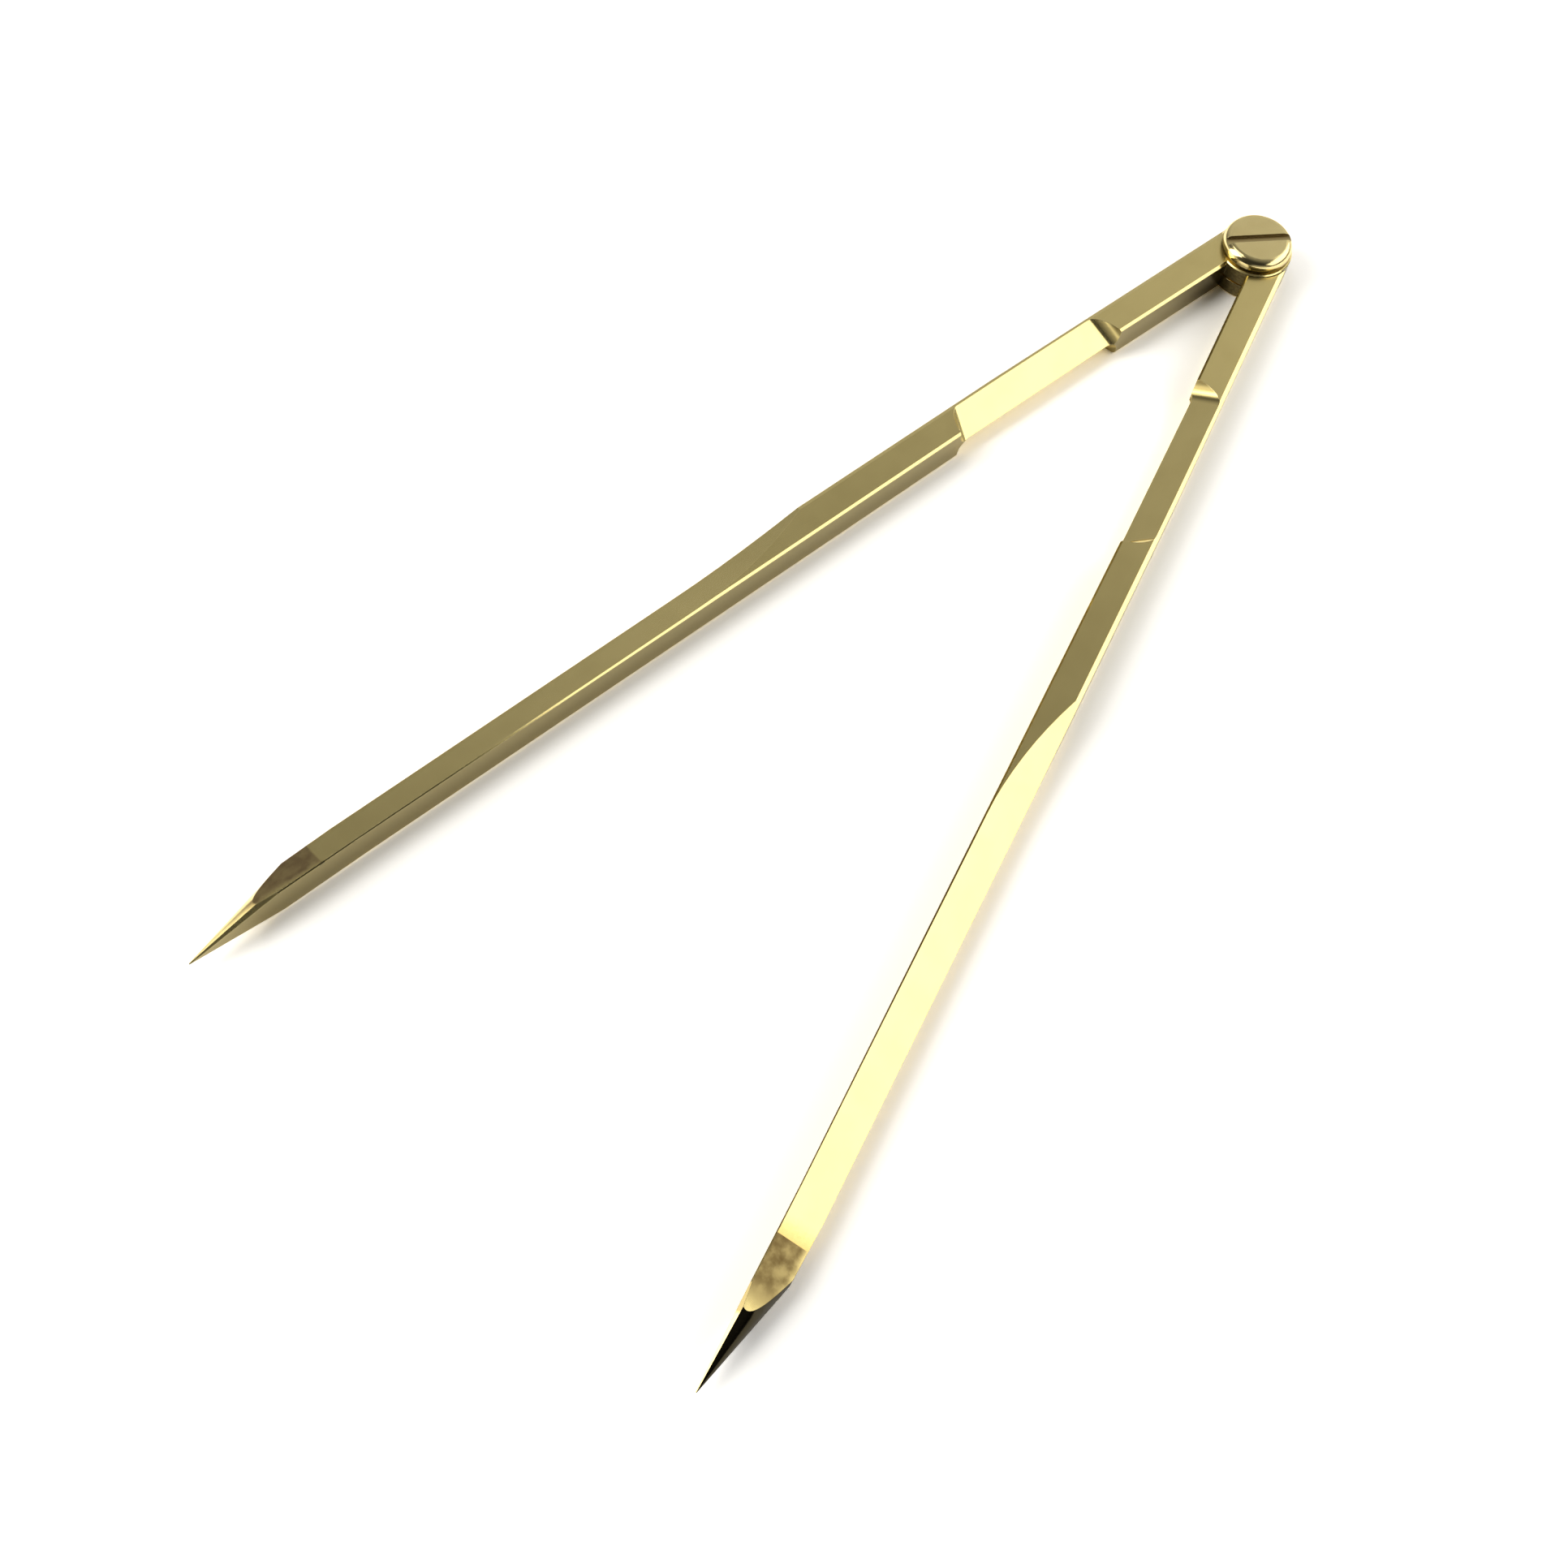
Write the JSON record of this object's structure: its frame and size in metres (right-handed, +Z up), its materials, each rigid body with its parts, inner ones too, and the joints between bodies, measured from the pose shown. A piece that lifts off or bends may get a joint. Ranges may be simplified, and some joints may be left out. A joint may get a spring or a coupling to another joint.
{
  "type": "chart_divider",
  "caption": "Straight brass chart divider with finger recesses, bevelled legs, brazed conical points and a slotted pivot screw, for stepping off distances on a chart",
  "frame": {"origin": "On the pivot axis, in the plane of the legs' undersides on which the divider lies", "axes": "+Z up along the pivot axis towards the screw head, -Y along the middle of the two open legs towards the tips, +X towards the right leg"},
  "size_m": [0.0702, 0.1611, 0.0064],
  "materials": {
    "leg_brass": "satin brushed brass with small scratches",
    "point_metal": "ground metal with brown heat stain near the seam",
    "braze_seam": "dark dull solder line",
    "washer_bronze": "dull rolled shim",
    "screw_brass": "polished brass with a turned edge"
  },
  "bodies": {
    "right_arm": {"right_leg": "leg_brass", "right_braze": "braze_seam", "right_point": "point_metal", "friction_washer": "washer_bronze"},
    "left_arm": {"left_leg": "leg_brass", "left_braze": "braze_seam", "left_point": "point_metal"},
    "screw": {"pivot_screw": "screw_brass"}
  },
  "joints": [
    {"name": "leg_hinge", "type": "hinge", "parent": "right_arm", "child": "left_arm", "pos_m": [0, 0, 0.0023], "axis": [0, 0, -1], "range_deg": [-24.6, 150]},
    {"name": "screw_turn", "type": "hinge", "parent": "right_arm", "child": "screw", "pos_m": [0, 0, 0.0023], "axis": [0, 0, 1], "range_deg": [-45, 45]}
  ]
}
